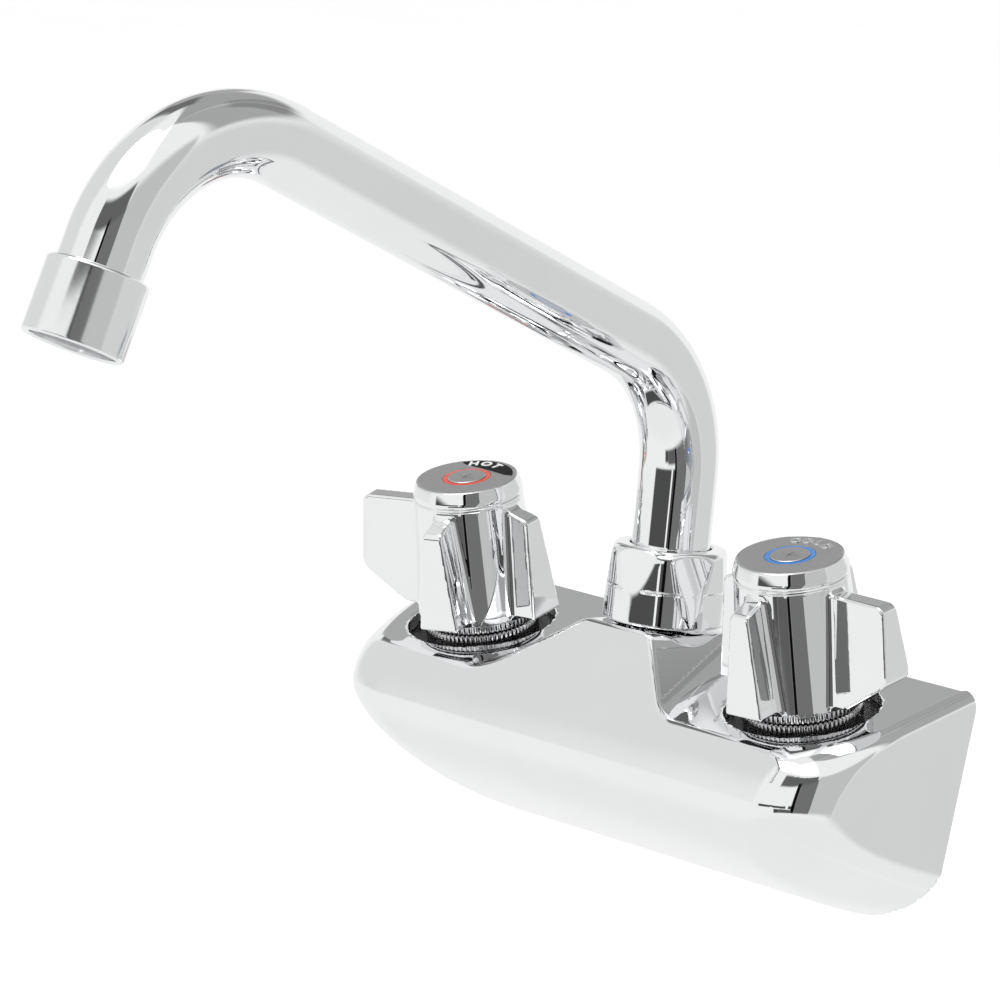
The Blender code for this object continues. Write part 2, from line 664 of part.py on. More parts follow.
def main():
    clear_scene()
    body_casting()
    valve("hot", -1.0, red_enamel())
    valve("cold", 1.0, blue_enamel())
    riser = bpy.data.objects.new("riser_axis", None)
    bpy.context.scene.collection.objects.link(riser)
    riser.location = (0.0, SPOUT_Y * MM, 0.0)
    spot, down = spout(riser)
    spout_nut(riser)
    outlet(riser, spot, down)


main()
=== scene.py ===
"""Looks for the two-handle wall faucet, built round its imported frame.

Lengths in this file are millimetres, and MM turns them into metres when a mesh is made.
The smooth shells (casting, handles, nut) are surfaces of distance fields, so that the
plated metal has true fillets; the turned pieces are profiles spun about their axis.
"""
import json
import math

import bmesh
import bpy
import numpy as np
from mathutils import Matrix, Vector


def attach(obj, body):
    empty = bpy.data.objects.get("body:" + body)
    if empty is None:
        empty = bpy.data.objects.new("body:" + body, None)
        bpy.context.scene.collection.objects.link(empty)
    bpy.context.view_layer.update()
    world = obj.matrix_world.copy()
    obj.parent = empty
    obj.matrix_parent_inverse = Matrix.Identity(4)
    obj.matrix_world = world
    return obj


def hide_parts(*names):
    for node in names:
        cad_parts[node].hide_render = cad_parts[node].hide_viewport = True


MM = 0.001

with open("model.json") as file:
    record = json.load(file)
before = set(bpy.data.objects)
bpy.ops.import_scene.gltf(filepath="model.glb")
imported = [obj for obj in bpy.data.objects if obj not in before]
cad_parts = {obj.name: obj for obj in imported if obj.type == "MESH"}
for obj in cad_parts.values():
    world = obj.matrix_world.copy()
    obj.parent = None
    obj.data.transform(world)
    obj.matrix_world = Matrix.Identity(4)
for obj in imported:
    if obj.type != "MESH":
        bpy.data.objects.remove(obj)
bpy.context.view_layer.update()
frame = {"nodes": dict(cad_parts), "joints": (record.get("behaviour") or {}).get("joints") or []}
JOINTS = {joint["name"]: joint for joint in frame["joints"]}

# Body casting
BODY_TOP_Z = 32.9
BODY_HALF = 80.0
END_DRAFT = 0.12
RIM_Y = -47.2
CHINE = (-52.6, 9.5)
HULL_HANDLES = ((-53.5, -1.5), (-38.0, -14.0))
KEEL = (-2.0, -23.4)
WALL = 3.4
TILT = math.radians(15.4)
STATION_X = 50.8
STATION_Y = -25.0
SEAT_DROP = 0.8
RECESS_RADIUS = 17.5
RECESS_DEPTH = 3.0
SADDLE_TOP_Z = 34.6
SADDLE_FRONT_Y = -33.0
SADDLE_HALF = 10.3
SADDLE_SLOPE = 0.78
SPOUT_Y = -17.5
# Plan corners at the deck; both open out by CORNER_GROWTH towards the keel
HOT_CORNER = 21.0
COLD_CORNER = 14.0
CORNER_GROWTH = 8.0

# Inside of the casting
BARREL_RADIUS = 12.5
BARREL_END = -31.0
FLANGE_RADIUS = 19.9
FLANGE_FLOOR = -6.6
BOSS_RADIUS = 13.5
GALLERY_Y = -20.0
GALLERY_Z = 22.0
GALLERY_RADIUS = 7.5
COLUMN_RADIUS = 12.6
PAD_HALF = 8.0
SOCKET_RADIUS = 10.0
SOCKET_DEPTH = 10.5
NUT_BORE = 11.3
CARTRIDGE_BORE = 9.0
SHOULDER_Z = -9.0
BORE_FLOOR_Z = -17.2
SHANK_RADIUS = 10.8
SHANK_BORE = 8.3
SHANK_FLOOR_Z = 20.0
SHANK_TOP_Z = 47.0

# Handle, measured up its own axis from just under the deck
WING_TOP_Z = 30.4
WING_HALF_TOP = 2.2
WING_FLARE = 0.115
LEVER_REACH = 28.4
RIB_REACH = 18.9
RIB_END_TOP_Z = 28.6
# Directions round the handle axis in degrees, from +X: the lever first, then three ribs
WING_ANGLES = {"hot": (-165.0, -73.0, 7.0, 103.0), "cold": (-1.0, -87.0, 95.0, 178.0)}
CAP_Z = 36.5
TEETH = 72


def rounded_and(a, b, radius):
    """Intersection of two fields whose edge is rounded."""
    corner = np.hypot(np.maximum(a + radius, 0.0), np.maximum(b + radius, 0.0))
    return np.minimum(np.maximum(a, b), -radius) + corner


def rounded_or(a, b, radius):
    """Union of two fields with a fillet between them."""
    return -rounded_and(-a, -b, radius)


def ramp(value, start, end):
    share = np.clip((value - start) / (end - start), 0.0, 1.0)
    return share * share * (3.0 - 2.0 * share)


def bezier(points, t):
    spots = [Vector(point) for point in points]
    while len(spots) > 1:
        spots = [a.lerp(b, t) for a, b in zip(spots, spots[1:])]
    return spots[0]


def deck_z(y):
    return BODY_TOP_Z + y * math.tan(TILT)


SEAT_Z = deck_z(STATION_Y) - SEAT_DROP


# ---------------------------------------------------------------- meshes
def store(name, verts, faces, material, normals=None, matrix=None):
    """A mesh object from arrays in millimetres."""
    verts = np.asarray(verts, float)
    if matrix is not None:
        turn = np.array(matrix.to_3x3())
        verts = verts @ turn.T + np.array(matrix.translation)
        if normals is not None:
            normals = normals @ turn.T
    mesh = bpy.data.meshes.new(name)
    mesh.from_pydata((verts * MM).tolist(), [], [list(face) for face in faces])
    mesh.validate()
    mesh.shade_smooth()
    if normals is not None and len(mesh.vertices) == len(normals):
        mesh.normals_split_custom_set_from_vertices(normals.tolist())
    obj = bpy.data.objects.new(name, mesh)
    bpy.context.scene.collection.objects.link(obj)
    mesh.materials.append(material)
    return obj


CORNERS = np.array([(i, j, k) for i in (0, 1) for j in (0, 1) for k in (0, 1)])
CELL_EDGES = [(a, b) for a in range(8) for b in range(a + 1, 8)
              if np.abs(CORNERS[a] - CORNERS[b]).sum() == 1]


def gradient(field, p, step=0.02):
    base = field(p[:, 0], p[:, 1], p[:, 2])
    slope = np.empty_like(p)
    for axis in range(3):
        q = p.copy()
        q[:, axis] += step
        slope[:, axis] = (field(q[:, 0], q[:, 1], q[:, 2]) - base) / step
    return base, slope


def skin(field, low, high, pitch):
    """Vertices, quads and normals of the surface where a field is zero."""
    axes = [np.arange(a, b + pitch, pitch) for a, b in zip(low, high)]
    x, y, z = axes[0][:, None, None], axes[1][None, :, None], axes[2][None, None, :]
    shape = tuple(len(a) for a in axes)
    values = np.broadcast_to(field(x, y, z), shape)
    inside = values < 0.0
    cells = tuple(n - 1 for n in shape)
    count = np.zeros(cells, np.int8)
    for i, j, k in CORNERS:
        count += inside[i:i + cells[0], j:j + cells[1], k:k + cells[2]]
    mixed = (count > 0) & (count < 8)
    where = np.argwhere(mixed)
    number = np.full(cells, -1)
    number[mixed] = np.arange(len(where))
    at = [values[tuple((where + c).T)] for c in CORNERS]
    total = np.zeros((len(where), 3))
    hits = np.zeros(len(where))
    for a, b in CELL_EDGES:
        crossed = (at[a] < 0.0) != (at[b] < 0.0)
        span = np.where(crossed, at[a] - at[b], 1.0)
        share = np.clip(at[a] / span, 0.0, 1.0)[:, None]
        total += crossed[:, None] * (CORNERS[a] + share * (CORNERS[b] - CORNERS[a]))
        hits += crossed
    points = np.array(low, float) + pitch * (where + total / hits[:, None])
    for _ in range(5):
        value, slope = gradient(field, points)
        size = np.maximum((slope ** 2).sum(1), 0.2)
        move = -(value / size)[:, None] * slope
        length = np.linalg.norm(move, axis=1)
        move *= np.minimum(1.0, 0.4 * pitch / np.maximum(length, 1e-9))[:, None]
        points += move
    _, slope = gradient(field, points)
    normals = slope / np.maximum(np.linalg.norm(slope, axis=1), 1e-9)[:, None]
    quads = []
    for axis in range(3):
        u, v = (axis + 1) % 3, (axis + 2) % 3
        first = [slice(None)] * 3
        second = [slice(None)] * 3
        first[axis], second[axis] = slice(0, -1), slice(1, None)
        for other in (u, v):
            first[other] = second[other] = slice(1, -1)
        a, b = inside[tuple(first)], inside[tuple(second)]
        spots = np.argwhere(a != b)
        out = a[tuple(spots.T)]
        spots[:, u] += 1
        spots[:, v] += 1
        ring = []
        for du, dv in ((-1, -1), (0, -1), (0, 0), (-1, 0)):
            shifted = spots.copy()
            shifted[:, u] += du
            shifted[:, v] += dv
            ring.append(number[tuple(shifted.T)])
        ring = np.stack(ring, 1)
        quads.append(np.where(out[:, None], ring, ring[:, ::-1]))
    return points, np.concatenate(quads), normals


def spin(profile, sides=96, wave=None):
    """Verts and faces of a closed (radius, height) outline spun about Z.

    wave(angle, index) gives a change of radius for a row, for teeth."""
    verts, rows, faces = [], [], []
    for index, (radius, height) in enumerate(profile):
        if radius < 1e-6:
            rows.append([len(verts)])
            verts.append((0.0, 0.0, height))
            continue
        rows.append(list(range(len(verts), len(verts) + sides)))
        for i in range(sides):
            angle = 2.0 * math.pi * i / sides
            r = radius + (wave(angle, index) if wave else 0.0)
            verts.append((r * math.cos(angle), r * math.sin(angle), height))
    for a, b in zip(rows, rows[1:] + rows[:1]):
        if len(a) == 1 and len(b) == 1:
            continue
        for i in range(sides):
            j = (i + 1) % sides
            loop = [a[i % len(a)], a[j % len(a)], b[j % len(b)], b[i % len(b)]]
            faces.append(list(dict.fromkeys(loop)))
    return verts, faces


def rounded(profile, radii, steps=4):
    """The outline with its corners rounded; radii holds one radius per corner."""
    out = []
    count = len(profile)
    for i, radius in enumerate(radii):
        here = Vector(profile[i])
        before = Vector(profile[i - 1]) - here
        after = Vector(profile[(i + 1) % count]) - here
        if radius <= 0.0 or before.length < 1e-6 or after.length < 1e-6:
            out.append(tuple(here))
            continue
        reach = min(radius, 0.49 * before.length, 0.49 * after.length)
        a, b = here + before.normalized() * reach, here + after.normalized() * reach
        for s in range(steps + 1):
            out.append(tuple(bezier((a, here, b), s / steps)))
    return out


def turned(name, profile, material, matrix=None, sides=96, radii=None, wave=None):
    if radii is not None:
        profile = rounded(profile, radii)
    verts, faces = spin(profile, sides, wave)
    obj = store(name, verts, faces, material, matrix=matrix)
    bm = bmesh.new()
    bm.from_mesh(obj.data)
    bmesh.ops.recalc_face_normals(bm, faces=bm.faces)
    bm.to_mesh(obj.data)
    bm.free()
    obj.data.shade_smooth()
    obj.data.set_sharp_from_angle(angle=math.radians(32.0))
    return obj


# ------------------------------------------------------------- materials
def new_material(name, metallic, roughness, colour):
    mat = bpy.data.materials.new(name)
    mat.use_nodes = True
    shader = mat.node_tree.nodes["Principled BSDF"]
    shader.inputs["Metallic"].default_value = metallic
    shader.inputs["Roughness"].default_value = roughness
    shader.inputs["Base Color"].default_value = (*colour, 1.0)
    return mat, mat.node_tree, shader


def noise(tree, scale, detail, stretch=(1.0, 1.0, 1.0)):
    place = tree.nodes.new("ShaderNodeTexCoord")
    mapping = tree.nodes.new("ShaderNodeMapping")
    mapping.inputs["Scale"].default_value = stretch
    texture = tree.nodes.new("ShaderNodeTexNoise")
    texture.inputs["Scale"].default_value = scale
    texture.inputs["Detail"].default_value = detail
    tree.links.new(place.outputs["Object"], mapping.inputs["Vector"])
    tree.links.new(mapping.outputs["Vector"], texture.inputs["Vector"])
    return texture.outputs["Fac"]


def spread(tree, value, low, high):
    node = tree.nodes.new("ShaderNodeMapRange")
    node.inputs["To Min"].default_value = low
    node.inputs["To Max"].default_value = high
    tree.links.new(value, node.inputs["Value"])
    return node.outputs["Result"]


def tint(tree, shader, value, dark, light):
    blend = tree.nodes.new("ShaderNodeValToRGB")
    blend.color_ramp.elements[0].color = (*dark, 1.0)
    blend.color_ramp.elements[1].color = (*light, 1.0)
    tree.links.new(value, blend.inputs["Fac"])
    tree.links.new(blend.outputs["Color"], shader.inputs["Base Color"])


def bump(tree, shader, value, strength, distance):
    node = tree.nodes.new("ShaderNodeBump")
    node.inputs["Strength"].default_value = strength
    node.inputs["Distance"].default_value = distance
    tree.links.new(value, node.inputs["Height"])
    tree.links.new(node.outputs["Normal"], shader.inputs["Normal"])


def plated(name, colour, low, high, wave_scale, wave_depth, stretch=(1.0, 1.0, 1.0)):
    """Bright plating: faint polishing haze in the gloss and a slow ripple in the face."""
    mat, tree, shader = new_material(name, 1.0, low, colour)
    haze = noise(tree, 900.0, 3.0)
    tree.links.new(spread(tree, haze, low, high), shader.inputs["Roughness"])
    tint(tree, shader, noise(tree, 60.0, 2.0), tuple(0.96 * c for c in colour), colour)
    bump(tree, shader, noise(tree, wave_scale, 1.0, stretch), 1.0, wave_depth)
    return mat


def grained(name, metallic, colour, dark, low, high, scale, stretch=(1.0, 1.0, 1.0), depth=0.00001):
    """Satin, machined or moulded stuff: grain in colour, gloss and height."""
    mat, tree, shader = new_material(name, metallic, low, colour)
    grain = noise(tree, scale, 5.0, stretch)
    tint(tree, shader, grain, dark, colour)
    tree.links.new(spread(tree, grain, low, high), shader.inputs["Roughness"])
    bump(tree, shader, grain, 0.5, depth)
    return mat


CHROME = plated("polished_chrome", (0.93, 0.935, 0.94), 0.015, 0.05, 55.0, 0.000004)
TUBE_CHROME = plated("drawn_tube_chrome", (0.93, 0.935, 0.94), 0.015, 0.05, 90.0, 0.00004, (1.0, 0.22, 0.5))
COLLAR_CHROME = plated("outlet_chrome", (0.93, 0.935, 0.94), 0.1, 0.18, 120.0, 0.00002)
KNURL_CHROME = plated("knurled_chrome", (0.86, 0.86, 0.87), 0.12, 0.25, 300.0, 0.00001)
# Near-black plating for the dish round each handle: painted shade standing in for the shade under the
# handle, not a real dark finish.
RECESS_PAINTED_SHADE = grained("recess_painted_shade", 1.0, (0.05, 0.05, 0.052), (0.02, 0.02, 0.02), 0.25, 0.4, 800.0)
CAST = grained("casting_inside", 1.0, (0.5, 0.48, 0.44), (0.36, 0.34, 0.3), 0.4, 0.6, 700.0)
SATIN = grained("satin_nickel", 1.0, (0.66, 0.66, 0.665), (0.6, 0.6, 0.6), 0.3, 0.42, 3000.0)
BRASS = grained("cast_brass", 1.0, (0.72, 0.55, 0.28), (0.6, 0.44, 0.2), 0.3, 0.5, 900.0)
STEEL = grained("stainless_steel", 1.0, (0.62, 0.62, 0.63), (0.5, 0.5, 0.51), 0.22, 0.35, 1500.0)
RUBBER = grained("black_rubber", 0.0, (0.03, 0.03, 0.03), (0.018, 0.018, 0.018), 0.6, 0.8, 1200.0)
CERAMIC = grained("alumina_ceramic", 0.0, (0.86, 0.85, 0.81), (0.8, 0.79, 0.75), 0.15, 0.3, 800.0)
ACETAL = grained("grey_acetal", 0.0, (0.4, 0.405, 0.41), (0.3, 0.3, 0.31), 0.35, 0.5, 900.0)
RED = grained("red_enamel", 0.0, (0.75, 0.09, 0.05), (0.6, 0.05, 0.03), 0.2, 0.35, 900.0)
BLUE = grained("blue_enamel", 0.0, (0.05, 0.24, 0.62), (0.03, 0.16, 0.5), 0.2, 0.35, 900.0)
BLACK = grained("black_enamel", 0.0, (0.012, 0.012, 0.013), (0.006, 0.006, 0.006), 0.5, 0.65, 900.0)
BLACK.node_tree.nodes["Principled BSDF"].inputs["Specular IOR Level"].default_value = 0.12
PALE = grained("pale_lettering", 0.0, (0.8, 0.8, 0.8), (0.72, 0.72, 0.72), 0.3, 0.45, 900.0)


# ------------------------------------------------------------------ body
def front_table():
    """Front line of the casting as Y against Z, with the cosine of its lean."""
    rim_z = deck_z(RIM_Y)
    lean = Vector((RIM_Y - SADDLE_FRONT_Y, rim_z - SADDLE_TOP_Z)).normalized()
    top = Vector((SADDLE_FRONT_Y, SADDLE_TOP_Z)) - lean * 25.0
    rim = Vector((RIM_Y, rim_z))
    line = [top, rim]
    shoulder = rim + lean * 6.0
    for i in range(1, 60):
        line.append(bezier((rim, shoulder, CHINE), i / 60.0))
    for i in range(400):
        line.append(bezier((CHINE, *HULL_HANDLES, KEEL), i / 399.0))
    line = np.array([tuple(p) for p in line])
    tail = line[-1] + (line[-1] - line[-2]) / np.linalg.norm(line[-1] - line[-2]) * 20.0
    line = np.vstack([line, tail])[::-1]
    z = np.linspace(line[0, 1], line[-1, 1], 4000)
    y = np.interp(z, line[:, 1], line[:, 0])
    cosine = 1.0 / np.sqrt(1.0 + np.gradient(y, z) ** 2)
    width = int(7.0 / (z[1] - z[0])) | 1
    window = np.hanning(width)
    padded = np.pad(cosine, width // 2, mode="edge")
    return z, y, np.convolve(padded, window / window.sum(), mode="valid")


FRONT_Z, FRONT_Y, FRONT_COS = front_table()


def station_local(x, y, z):
    """Radius from the nearer handle axis and height above its seat."""
    dy, dz = y - STATION_Y, z - SEAT_Z
    side = dy * math.cos(TILT) + dz * math.sin(TILT)
    return np.hypot(np.abs(x) - STATION_X, side), dz * math.cos(TILT) - dy * math.sin(TILT)


def body_hull(x, y, z):
    """Fields of the casting's sides and of its top, without the wall plane."""
    wide = np.abs(x)
    front = (np.interp(z, FRONT_Z, FRONT_Y) - y) * np.interp(z, FRONT_Z, FRONT_COS)
    end = (wide - BODY_HALF + END_DRAFT * (BODY_TOP_Z - z)) / math.hypot(1.0, END_DRAFT)
    turn = np.where(x > 0.0, COLD_CORNER, HOT_CORNER) + CORNER_GROWTH * ramp(z, 12.0, -14.0)
    hull = rounded_and(end, front, turn)
    hull = np.maximum(hull, KEEL[1] - z)
    deck = (z - deck_z(y)) * math.cos(TILT)
    flank = (SADDLE_SLOPE * (wide - SADDLE_HALF) + z - SADDLE_TOP_Z) / math.hypot(1.0, SADDLE_SLOPE)
    crown = z - SADDLE_TOP_Z + 0.03 * (y - SADDLE_FRONT_Y)
    return hull, rounded_or(deck, rounded_and(flank, crown, 0.9), 2.2)


def body_solid(x, y, z):
    """Field of the casting before it is cut off at the wall plane."""
    wide = np.abs(x)
    hull, top = body_hull(x, y, z)
    outer = rounded_and(hull, top, 1.0 + 3.4 * ramp(wide, 62.0, 76.0))
    radius, height = station_local(x, y, z)
    outer = rounded_and(outer, -np.maximum(radius - RECESS_RADIUS, -RECESS_DEPTH - height), 0.4)
    core = np.maximum(hull, top) + WALL
    barrel = np.maximum(radius - BARREL_RADIUS, BARREL_END - height)
    flange = np.maximum(radius - FLANGE_RADIUS, FLANGE_FLOOR - height)
    boss = np.maximum(np.hypot(wide - STATION_X, z) - BOSS_RADIUS, -15.0 - y)
    gallery = np.maximum(np.hypot(y - GALLERY_Y, z - GALLERY_Z) - GALLERY_RADIUS, wide - STATION_X)
    riser = np.hypot(x, y - SPOUT_Y)
    column = np.maximum(riser - COLUMN_RADIUS, -PAD_HALF - z)
    pad = np.maximum(np.maximum(wide - PAD_HALF, np.abs(z) - PAD_HALF), SPOUT_Y - y)
    inner = -core
    for part in (barrel, flange, boss, gallery, column, pad):
        inner = rounded_or(inner, part, 1.5)
    solid = np.maximum(outer, inner)
    shank = np.maximum(np.maximum(riser - SHANK_RADIUS, z - SHANK_TOP_Z), SHANK_FLOOR_Z - z)
    solid = rounded_or(solid, shank, 0.5)
    width = np.where(height > SHOULDER_Z, NUT_BORE, CARTRIDGE_BORE)
    bore = np.maximum(radius - width, BORE_FLOOR_Z - height)
    socket = np.maximum(np.hypot(wide - STATION_X, z) - SOCKET_RADIUS, -SOCKET_DEPTH - y)
    mouth = np.maximum(riser - SHANK_BORE, SHANK_FLOOR_Z - z)
    for cut in (bore, socket, mouth):
        solid = np.maximum(solid, -cut)
    return solid


def body_field(x, y, z):
    return np.maximum(body_solid(x, y, z), y)


def sharpen_rim(points, normals, low, pitch):
    """Pull the points of the cells that hold the wall plane's edge onto that edge."""
    cell = np.floor((points - low) / pitch)
    signs = []
    for i in (0, 1):
        for k in (0, 1):
            x = low[0] + (cell[:, 0] + i) * pitch
            z = low[2] + (cell[:, 2] + k) * pitch
            signs.append(body_solid(x, 0.0 * x, z) < 0.0)
    mixed = np.any(signs, axis=0) & ~np.all(signs, axis=0)
    edge = np.flatnonzero(mixed & (points[:, 1] > -0.9 * pitch))
    spots = points[edge]
    spots[:, 1] = 0.0
    for _ in range(5):
        value, slope = gradient(body_solid, spots)
        slope[:, 1] = 0.0
        size = np.maximum((slope ** 2).sum(1), 0.2)
        spots -= (value / size)[:, None] * slope
    moved = np.linalg.norm(spots - points[edge], axis=1) < 1.5 * pitch
    chosen = edge[moved]
    points[chosen] = spots[moved]
    _, slope = gradient(body_solid, points[chosen])
    normals[chosen] = slope / np.maximum(np.linalg.norm(slope, axis=1), 1e-9)[:, None]


def body():
    low, pitch = np.array((-82.0, -56.0, -26.0)), 0.84
    points, quads, normals = skin(body_field, low, (82.0, 2.5, 49.0), pitch)
    sharpen_rim(points, normals, low, pitch)
    obj = store("casting_shell", points, quads, CHROME, normals)
    obj.data.materials.append(CAST)
    obj.data.materials.append(RECESS_PAINTED_SHADE)
    middle = np.empty(len(obj.data.polygons) * 3)
    obj.data.polygons.foreach_get("center", middle)
    middle = middle.reshape(-1, 3) / MM
    radius, height = station_local(middle[:, 0], middle[:, 1], middle[:, 2])
    wide = np.abs(middle[:, 0])
    hull, top = body_hull(*middle.T)
    inside = (np.maximum(hull, top) < -2.4) & (middle[:, 1] < -0.3)
    slots = np.where(inside & (radius > RECESS_RADIUS + 0.5), 1, 0)
    slots = np.where(inside & (height < -RECESS_DEPTH - 0.8), 1, slots)
    # Walls and floor of the dish round each handle take the near-black material: painted shade, not a real
    # dark finish.
    pit = (radius < RECESS_RADIUS - 0.05) & (height < -0.7) & (height > -RECESS_DEPTH - 0.8)
    slots = np.where(pit & (wide > 30.0), 2, slots)
    obj.data.polygons.foreach_set("material_index", slots.astype(np.int32))
    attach(obj, "body")
    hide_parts("body_casting")


# --------------------------------------------------------------- handles
def wing_profile(radius, z, is_lever):
    """Outline of one wing seen from its side; the lever is undercut back to the skirt."""
    if is_lever:
        top = z - WING_TOP_Z
        end = (radius - LEVER_REACH - (WING_TOP_Z - z) * 0.06) / math.hypot(1.0, 0.06)
        under = ((radius - LEVER_REACH - 0.9) * 7.0 - (z - 13.0) * 10.5) / math.hypot(7.0, 10.5)
        shape = rounded_and(rounded_and(top, end, 2.0), under, 2.0)
    else:
        fall = (WING_TOP_Z - RIB_END_TOP_Z) / (RIB_REACH - 12.8)
        top = (z - WING_TOP_Z + fall * (radius - 12.8)) / math.hypot(1.0, fall)
        end = (radius - RIB_REACH - (WING_TOP_Z - z) * 0.055) / math.hypot(1.0, 0.055)
        shape = rounded_and(top, end, 1.2)
    return rounded_and(shape, 5.2 - z, 0.6)


def handle_field(x, y, z, angles):
    radius = np.hypot(x, y)
    share = np.clip((z - 3.0) / 29.0, 0.0, 1.0)
    cone = (radius - (14.7 - 1.9 * share)) * 0.998
    cone = np.maximum(cone, z - 32.2)
    shape = cone
    for k, degrees in enumerate(angles):
        angle = math.radians(degrees)
        along = x * math.cos(angle) + y * math.sin(angle)
        across = np.abs(-x * math.sin(angle) + y * math.cos(angle))
        half = WING_HALF_TOP + (WING_TOP_Z - z) * WING_FLARE
        blade = rounded_and((across - half) * 0.994, wing_profile(along, z, k == 0), 0.55)
        blade = np.maximum(blade, 4.0 - along)
        shape = rounded_or(shape, blade, 1.5)
    shape = rounded_and(shape, 4.0 - z, 0.35)
    shape = np.maximum(shape, z - 31.9)
    hollow = np.maximum(radius - 10.6, z - 9.0)
    return np.maximum(shape, -hollow)


def tooth_wave(depth, rows, teeth=TEETH):
    def wave(angle, index):
        if index not in rows:
            return 0.0
        phase = (angle * teeth / (2.0 * math.pi)) % 1.0
        return -depth * min(1.0, max(0.0, 3.0 * abs(phase - 0.5) * 2.0 - 1.0))
    return wave


def letters(tag, word, first, last, matrix):
    """Raised generic lettering on an arc at the rear of the index disc."""
    made = []
    for i, char in enumerate(word):
        angle = math.radians(first + (last - first) * i / (len(word) - 1))
        curve = bpy.data.curves.new(tag + "_glyph", "FONT")
        curve.body = char
        curve.size = 3.4
        curve.extrude = 0.10
        curve.offset = 0.06
        curve.bevel_depth = 0.05
        curve.align_x = "CENTER"
        curve.align_y = "CENTER"
        glyph = bpy.data.objects.new(tag + "_glyph", curve)
        bpy.context.scene.collection.objects.link(glyph)
        place = Matrix.Translation((8.75 * math.cos(angle), 8.75 * math.sin(angle), CAP_Z + 0.08))
        glyph.matrix_world = place @ Matrix.Rotation(angle - math.pi / 2.0, 4, "Z")
        bpy.context.view_layer.update()
        mesh = bpy.data.meshes.new_from_object(glyph)
        mesh.transform(glyph.matrix_world)
        made.append(mesh)
        bpy.data.objects.remove(glyph)
        bpy.data.curves.remove(curve)
    bm = bmesh.new()
    for mesh in made:
        bm.from_mesh(mesh)
        bpy.data.meshes.remove(mesh)
    bm.transform(Matrix.Scale(MM, 4) @ matrix)
    joined = bpy.data.meshes.new(tag + "_lettering")
    bm.to_mesh(joined)
    bm.free()
    obj = bpy.data.objects.new(tag + "_lettering", joined)
    bpy.context.scene.collection.objects.link(obj)
    joined.materials.clear()
    joined.materials.append(PALE if tag == "hot" else CHROME)
    return obj


def crescent(tag, matrix):
    """Black filled patch behind the hot side's lettering."""
    verts, faces = [], []
    steps = 40
    for low in (CAP_Z - 0.1, CAP_Z + 0.03):
        for i in range(steps + 1):
            angle = math.radians(141.0 - 107.0 * i / steps)
            share = math.sin(math.pi * i / steps) ** 0.45
            outer = 10.9
            inner = outer - 4.9 * share - 0.01
            verts.append((inner * math.cos(angle), inner * math.sin(angle), low))
            verts.append((outer * math.cos(angle), outer * math.sin(angle), low))
    row = 2 * (steps + 1)
    for i in range(steps):
        a, b, c, d = 2 * i, 2 * i + 1, 2 * i + 3, 2 * i + 2
        faces.append((a, b, c, d))
        faces.append((row + d, row + c, row + b, row + a))
        faces.append((a, d, row + d, row + a))
        faces.append((c, b, row + b, row + c))
    faces.append((0, row, row + 1, 1))
    last = 2 * steps
    faces.append((last, last + 1, row + last + 1, row + last))
    obj = store(tag + "_letter_patch", verts, faces, BLACK, matrix=matrix)
    obj.data.shade_flat()
    return obj


